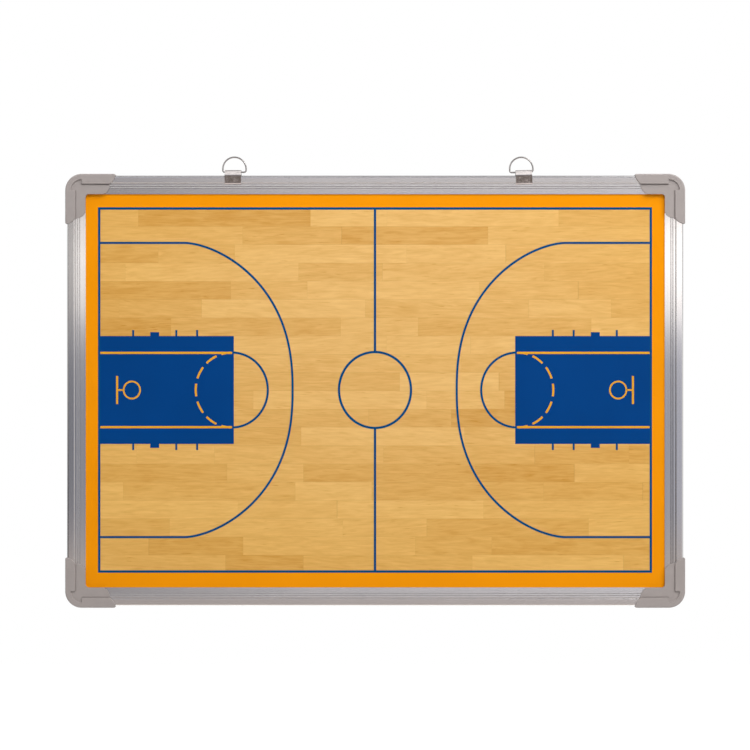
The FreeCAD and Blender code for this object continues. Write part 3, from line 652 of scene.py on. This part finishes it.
class BOARD_OT_key_marks(bpy.types.Operator):
    """Light orange marks in the keys: lane lines, dashed half circles, backboards and hoops."""

    bl_idname = "court_board.key_marks"
    bl_label = "Key marks"

    def execute(self, context):
        settings = context.scene.court_print
        ink = printed_ink("light_orange_screen_ink", settings.mark_ink, 0.05)
        end_line = settings.court_half_width / MM - settings.line_width / MM / 2
        bands = []
        for side, middle in BOW_MIDDLE.items():
            for z in (-LANE_HEIGHT, LANE_HEIGHT):
                lane = [[side * end_line, z], [side * (KEY_EDGE[side] + LANE_STOP), z]]
                bands.append(ink_line(court(lane), LANE_WIDTH * MM, MARK_LIFT))
            inward = 180 if side < 0 else 0
            for first, last in DASH_SPANS:
                dash = ellipse((side * middle, 0), *BOW_HALF, inward + first, inward + last, DASH_STEPS)
                bands.append(ink_line(court(dash), DASH_WIDTH * MM, DASH_LIFT))
            backboard = [[side * BACKBOARD_PLACE, z] for z in (-BACKBOARD_HALF, BACKBOARD_HALF)]
            bands.append(ink_line(court(backboard), BACKBOARD_WIDTH * MM, MARK_LIFT))
            neck = [[side * x, 0] for x in NECK_RUN]
            bands.append(ink_line(court(neck), HOOP_WIDTH * MM, MARK_LIFT))
            hoop = ellipse((side * HOOP_MIDDLE, 0), *HOOP_HALF, 0, 360, HOOP_STEPS)[:-1]
            bands.append(ink_line(court(hoop), HOOP_WIDTH * MM, MARK_LIFT, closed=True))
        laid_mesh("key_marks", bands, ink, "board")
        return {"FINISHED"}


class BOARD_OT_panel_sheets(bpy.types.Operator):
    """Sheets behind the film: coated steel, core board and galvanised backing."""

    bl_idname = "court_board.panel_sheets"
    bl_label = "Panel sheets"

    def execute(self, context):
        finish = context.scene.frame_finish
        coated = moulded_plastic("white_coil_coated_steel", linear("E4E4E1"), 0.40, 1.2 * MM)
        dress(coated, "steel_face_sheet")
        dress(fibre_board(), "panel_core")
        dress(galvanised_sheet(finish.backing_metal), "back_sheet")
        return {"FINISHED"}


class BOARD_OT_rails(bpy.types.Operator):
    """Anodised rails, their die lines running along each rail."""

    bl_idname = "court_board.rails"
    bl_label = "Rails"

    def execute(self, context):
        metal = context.scene.frame_finish.rail_metal
        level = anodised_extrusion("satin_anodised_extrusion_level", metal, "X", (0.004, 1, 1))
        upright = anodised_extrusion("satin_anodised_extrusion_upright", metal, "Z", (1, 1, 0.004))
        dress(level, "top_rail", "bottom_rail")
        dress(upright, "left_rail", "right_rail")
        return {"FINISHED"}


class BOARD_OT_corners(bpy.types.Operator):
    """Moulded corner caps, the keys inside the rails and the screws that hold them."""

    bl_idname = "court_board.corners"
    bl_label = "Corner caps, keys and screws"

    def execute(self, context):
        finish = context.scene.frame_finish
        cap = moulded_plastic("grey_abs_moulding", finish.cap_plastic, 0.46, 0.7 * MM)
        key = moulded_plastic("dark_nylon_moulding", finish.key_plastic, 0.55, 0.7 * MM)
        screw = plated_steel("bright_zinc_plated_screw", finish.screw_metal, 0.26, 0.6 * MM)
        places = ("top_left", "top_right", "bottom_left", "bottom_right")
        dress(cap, *(f"corner_cap_{place}" for place in places))
        dress(key, *(f"corner_key_{place}" for place in places))
        dress(screw, "corner_screws")
        return {"FINISHED"}


class BOARD_OT_hangers(bpy.types.Operator):
    """Bent-strip clips on the top rail and their D-rings."""

    bl_idname = "court_board.hangers"
    bl_label = "Clips and D-rings"

    def execute(self, context):
        finish = context.scene.frame_finish
        strip = plated_steel("nickel_plated_strip", finish.strip_metal, 0.07, 3.0 * MM)
        wire = plated_steel("nickel_plated_wire", finish.wire_metal, 0.22, 0.8 * MM)
        dress(strip, "hanger_clip_left", "hanger_clip_right")
        dress(wire, "d_ring_left", "d_ring_right")
        return {"FINISHED"}


def soft_box(name, place, aim, size, watts, mirrored):
    """An area lamp at a place, turned to face a point; mirrored says if shiny pieces show it."""
    lamp = bpy.data.lights.new(name, "AREA")
    lamp.shape = "RECTANGLE"
    lamp.size, lamp.size_y = size
    lamp.energy = watts
    holder = bpy.data.objects.new(name, lamp)
    holder.location = place
    holder.rotation_euler = (Vector(aim) - Vector(place)).to_track_quat("-Z", "Y").to_euler()
    holder.visible_glossy = mirrored
    bpy.context.scene.collection.objects.link(holder)


CARD_STEPS = 13


def flat_card(name, corner, along, up, material):
    """A flat stage surface on an even grid: a corner plus u times one side plus v times the other."""
    steps = np.linspace(0, 1, CARD_STEPS)
    u, v = np.meshgrid(steps, steps, indexing="ij")
    points = np.array(corner) + u[..., None] * np.array(along) + v[..., None] * np.array(up)
    number = np.arange(CARD_STEPS ** 2).reshape(CARD_STEPS, CARD_STEPS)
    quads = np.stack([number[:-1, :-1], number[1:, :-1], number[1:, 1:], number[:-1, 1:]], -1)
    mesh = bpy.data.meshes.new(name)
    mesh.from_pydata(points.reshape(-1, 3).tolist(), [], quads.reshape(-1, 4).tolist())
    mesh.materials.append(material)
    card = bpy.data.objects.new(name, mesh)
    bpy.context.scene.collection.objects.link(card)
    return card


def lit_card(strip_level):
    """Glowing card behind the camera: a painted reflection of grey felt with a lit strip over the lens,
    both painted brighter to the right.

    The painted felt is warm at its foot and just above the strip, and cool elsewhere. High up it is painted
    pale again, most of all at the left.
    """
    material, tree, place = new_material("painted_reflection_card_with_strip")
    axes = add(tree, "ShaderNodeSeparateXYZ", {"Vector": place})
    x, z = axes.outputs["X"], axes.outputs["Z"]
    # Every level here is painted glow: it stands in for light on grey felt and for a lit strip.
    # Each ramp: the axis it follows, where it starts and ends in metres, and its value at both.
    ramps = {
        "felt": (x, (-1.0, 1.0), (0.235, 0.79), "LINEAR"),
        "high_level": (x, (-1.0, 1.0), (0.80, 0.34), "LINEAR"),
        "foot": (z, (-0.32, -0.46), (0, 1), "LINEAR"),
        "above": (z, (0.39, 0.44), (0, 1), "LINEAR"),
        "high": (z, (0.6, 0.8), (0, 1), "LINEAR"),
        "rightward": (x, (-0.80, -0.15), (0.04, 1.0), "LINEAR"),
        "upward": (z, (0.12, 0.40), (0.7, 1.24), "LINEAR"),
        "strip_low": (z, (0.11, 0.16), (0, 1), "SMOOTHSTEP"),
        "strip_high": (z, (0.425, 0.395), (0, 1), "SMOOTHSTEP"),
    }
    ramp = {}
    for name, (axis, run, value, kind) in ramps.items():
        ends = {"From Min": run[0], "From Max": run[1], "To Min": value[0], "To Max": value[1]}
        node = add(tree, "ShaderNodeMapRange", {"Value": axis, **ends}, interpolation_type=kind)
        ramp[name] = node.outputs[0]
    even = add(tree, "ShaderNodeMix", {0: ramp["foot"], 2: ramp["felt"], 3: 0.69})
    dimmed = add(tree, "ShaderNodeMix", {0: ramp["above"], 2: even.outputs[0], 3: 0.22})
    grey = add(
        tree, "ShaderNodeMath", {0: ramp["high"], 1: ramp["high_level"], 2: dimmed.outputs[0]},
        operation="MULTIPLY_ADD",
    )
    strip = add(tree, "ShaderNodeMath", {0: ramp["strip_low"], 1: ramp["strip_high"]}, operation="MULTIPLY")
    graded = add(tree, "ShaderNodeMath", {0: ramp["rightward"], 1: ramp["upward"]}, operation="MULTIPLY")
    lit = add(tree, "ShaderNodeMath", {0: strip.outputs[0], 1: graded.outputs[0]}, operation="MULTIPLY")
    level = add(
        tree, "ShaderNodeMath", {0: lit.outputs[0], 1: strip_level, 2: grey.outputs[0]},
        operation="MULTIPLY_ADD",
    )
    just_above = add(tree, "ShaderNodeMath", {0: ramp["above"], 1: ramp["high"]}, operation="SUBTRACT")
    warm = add(tree, "ShaderNodeMath", {0: ramp["foot"], 1: just_above.outputs[0]}, operation="MAXIMUM")
    tone = add(
        tree, "ShaderNodeMix",
        {0: warm.outputs[0], 6: (*linear("EEF0FF"), 1), 7: (*linear("FFF0E6"), 1)}, data_type="RGBA",
    )
    tint = add(
        tree, "ShaderNodeMix", {0: strip.outputs[0], 6: tone.outputs[2], 7: (*linear("FFFBF9"), 1)},
        data_type="RGBA",
    )
    glow = add(tree, "ShaderNodeEmission", {"Color": tint.outputs[2], "Strength": level.outputs[0]})
    add(tree, "ShaderNodeOutputMaterial", {"Surface": glow.outputs[0]})
    return material


def shaded_flag():
    """Glowing flag at the left of the board: a painted reflection of grey felt, painted paler with height.
    """
    material, tree, place = new_material("painted_reflection_flag")
    axes = add(tree, "ShaderNodeSeparateXYZ", {"Vector": place})
    level = add(
        tree, "ShaderNodeMapRange",
        {"Value": axes.outputs["Z"], "From Min": -0.25, "From Max": 0.35,
         "To Min": 0.10, "To Max": 0.85},
    )
    glow = add(tree, "ShaderNodeEmission", {"Color": (1, 1, 1, 1), "Strength": level.outputs[0]})
    add(tree, "ShaderNodeOutputMaterial", {"Surface": glow.outputs[0]})
    return material


def canopy_glow():
    """Glowing canopy over the board: a painted reflection of grey felt, with the felt's mottle painted into
    its glow.
    """
    material, tree, place = new_material("painted_reflection_canopy")
    nap = add(tree, "ShaderNodeTexNoise", {"Vector": place, "Scale": 1 / (60 * MM), "Detail": 2.0})
    level = add(tree, "ShaderNodeMapRange", {"Value": nap.outputs[0], "To Min": 0.34, "To Max": 0.46})
    glow = add(tree, "ShaderNodeEmission", {"Color": (1, 1, 1, 1), "Strength": level.outputs[0]})
    add(tree, "ShaderNodeOutputMaterial", {"Surface": glow.outputs[0]})
    return material


def shown_rays(tree):
    """1 on the rays that show a surface: from the camera, mirrored or through something clear."""
    ray = add(tree, "ShaderNodeLightPath")
    seen = add(
        tree, "ShaderNodeMath", {0: ray.outputs["Is Camera Ray"], 1: ray.outputs["Is Glossy Ray"]},
        operation="MAXIMUM",
    )
    shown = add(
        tree, "ShaderNodeMath", {0: seen.outputs[0], 1: ray.outputs["Is Transmission Ray"]},
        operation="MAXIMUM",
    )
    return shown.outputs[0]


def pale_room(level):
    """World of an even soft light, and plain white wherever it is seen or mirrored."""
    room = bpy.data.worlds.new("pale_room")
    room.use_nodes = True
    tree = room.node_tree
    tree.nodes.clear()
    light = add(tree, "ShaderNodeBackground", {"Color": (1, 1, 1, 1), "Strength": level})
    white = add(tree, "ShaderNodeBackground", {"Color": (1, 1, 1, 1), "Strength": 1.0})
    mixed = add(
        tree, "ShaderNodeMixShader", {0: shown_rays(tree), 1: light.outputs[0], 2: white.outputs[0]}
    )
    add(tree, "ShaderNodeOutputWorld", {"Surface": mixed.outputs[0]})
    return room


def matt_floor(paint):
    """Matt painted floor, lifted to white where it is seen, so that only the shadow shows on it."""
    material, tree, place = new_material("matt_pale_floor")
    dust = add(tree, "ShaderNodeTexNoise", {"Vector": place, "Scale": 1 / (300 * MM), "Detail": 2.0})
    tint = add(tree, "ShaderNodeMix", {0: dust.outputs[0], **shades(paint, 0.97, 1.0)}, data_type="RGBA")
    matt = add(tree, "ShaderNodeBsdfDiffuse", {"Color": tint.outputs[2]})
    lift = add(tree, "ShaderNodeMath", {0: shown_rays(tree), 1: 0.82}, operation="MULTIPLY")
    glow = add(tree, "ShaderNodeEmission", {"Color": (1, 1, 1, 1), "Strength": lift.outputs[0]})
    both = add(tree, "ShaderNodeAddShader", {0: matt.outputs[0], 1: glow.outputs[0]})
    add(tree, "ShaderNodeOutputMaterial", {"Surface": both.outputs[0]})
    return material


class BOARD_OT_stage(bpy.types.Operator):
    """Camera at the photo's view, soft boxes, pale room, pale floor and glowing grey cards painted as
    reflections.
    """

    bl_idname = "court_board.stage"
    bl_label = "Stage"

    def execute(self, context):
        studio = context.scene.court_studio
        scene = context.scene
        scene.view_settings.view_transform = "Standard"
        scene.world = pale_room(studio.sky_level)
        lens = bpy.data.cameras.new("camera")
        lens.sensor_width = 36.0
        lens.lens = lens.sensor_width * studio.camera_distance / studio.field_width
        eye = bpy.data.objects.new("camera", lens)
        eye.location = (studio.view_right, FILM_FACE - studio.camera_distance, studio.view_up)
        eye.rotation_euler = (math.pi / 2, 0, 0)
        scene.collection.objects.link(eye)
        scene.camera = eye

        # Each lamp: its place, the point it faces, its width and height, its power, if it is mirrored.
        middle = (0, 0, 0)
        lamps = {
            "key_soft_box": ((1.3, -1.3, 1.8), middle, (1.8, 1.8), studio.key_power, True),
            "back_soft_box": ((-1.5, 2.1, 1.2), middle, (1.6, 1.6), studio.back_power, False),
            "fill_soft_box": ((-2.2, -1.5, 0.9), middle, (1.0, 1.4), studio.fill_power, True),
            "top_scrim": ((0.1, -1.2, 1.5), (0.05, 0, 0), (2.0, 1.2), studio.top_power, False),
            "hair_strip": ((0, -0.30, 1.7), (0, -0.06, 0.2), (1.6, 0.34), studio.hair_power, True),
        }
        for name, lamp in lamps.items():
            soft_box(name, *lamp)

        ground = CAD_BOX[0][2] - studio.floor_drop
        flat_card("floor", (-6, -6, ground), (12, 0, 0), (0, 12, 0), matt_floor(studio.floor_colour))

        # Glowing grey cards, painted reflections seen only in the board's shine: one behind the camera,
        # three from its edges forward.
        left, front, wide, tall = -2.2, -2.9, 4.4, 3.2
        lit, shaded, felt = lit_card(studio.strip_level), shaded_flag(), canopy_glow()
        cards = (
            flat_card("mirrored_glow_card", (left, front, ground), (wide, 0, 0), (0, 0, tall), lit),
            flat_card("mirrored_glow_apron", (left, front, ground + 0.01), (wide, 0, 0), (0, 2.2, 0), lit),
            flat_card("mirrored_glow_flag", (left, front, ground), (0, 3.3, 0), (0, 0, tall), shaded),
            flat_card("mirrored_glow_canopy", (left, front, ground + tall), (wide, 0, 0), (0, 4.4, 0), felt),
        )
        for card in cards:
            card.visible_camera = False
            card.visible_diffuse = False
            card.visible_shadow = False
        return {"FINISHED"}


OPERATORS = (
    BOARD_OT_court_film,
    BOARD_OT_border,
    BOARD_OT_keys,
    BOARD_OT_lines,
    BOARD_OT_key_marks,
    BOARD_OT_panel_sheets,
    BOARD_OT_rails,
    BOARD_OT_corners,
    BOARD_OT_hangers,
    BOARD_OT_stage,
)


class BOARD_PT_looks(bpy.types.Panel):
    """Lists the board's settings and the operators that dress it."""

    bl_idname = "BOARD_PT_looks"
    bl_label = "Court Board"
    bl_space_type = "VIEW_3D"
    bl_region_type = "UI"
    bl_category = "Court Board"

    def draw(self, context):
        for name, group in SETTINGS.items():
            box = self.layout.box()
            for key in group.__annotations__:
                box.prop(getattr(context.scene, name), key)
        for operator in OPERATORS:
            self.layout.operator(operator.bl_idname)


CLASSES = (*SETTINGS.values(), *OPERATORS, BOARD_PT_looks)


def register():
    for item in CLASSES:
        bpy.utils.register_class(item)
    for name, group in SETTINGS.items():
        setattr(bpy.types.Scene, name, PointerProperty(type=group))


def unregister():
    for name in SETTINGS:
        delattr(bpy.types.Scene, name)
    for item in reversed(CLASSES):
        bpy.utils.unregister_class(item)


def main():
    register()
    for operator in OPERATORS:
        group, name = operator.bl_idname.split(".")
        getattr(getattr(bpy.ops, group), name)()


if __name__ == "__main__":
    main()
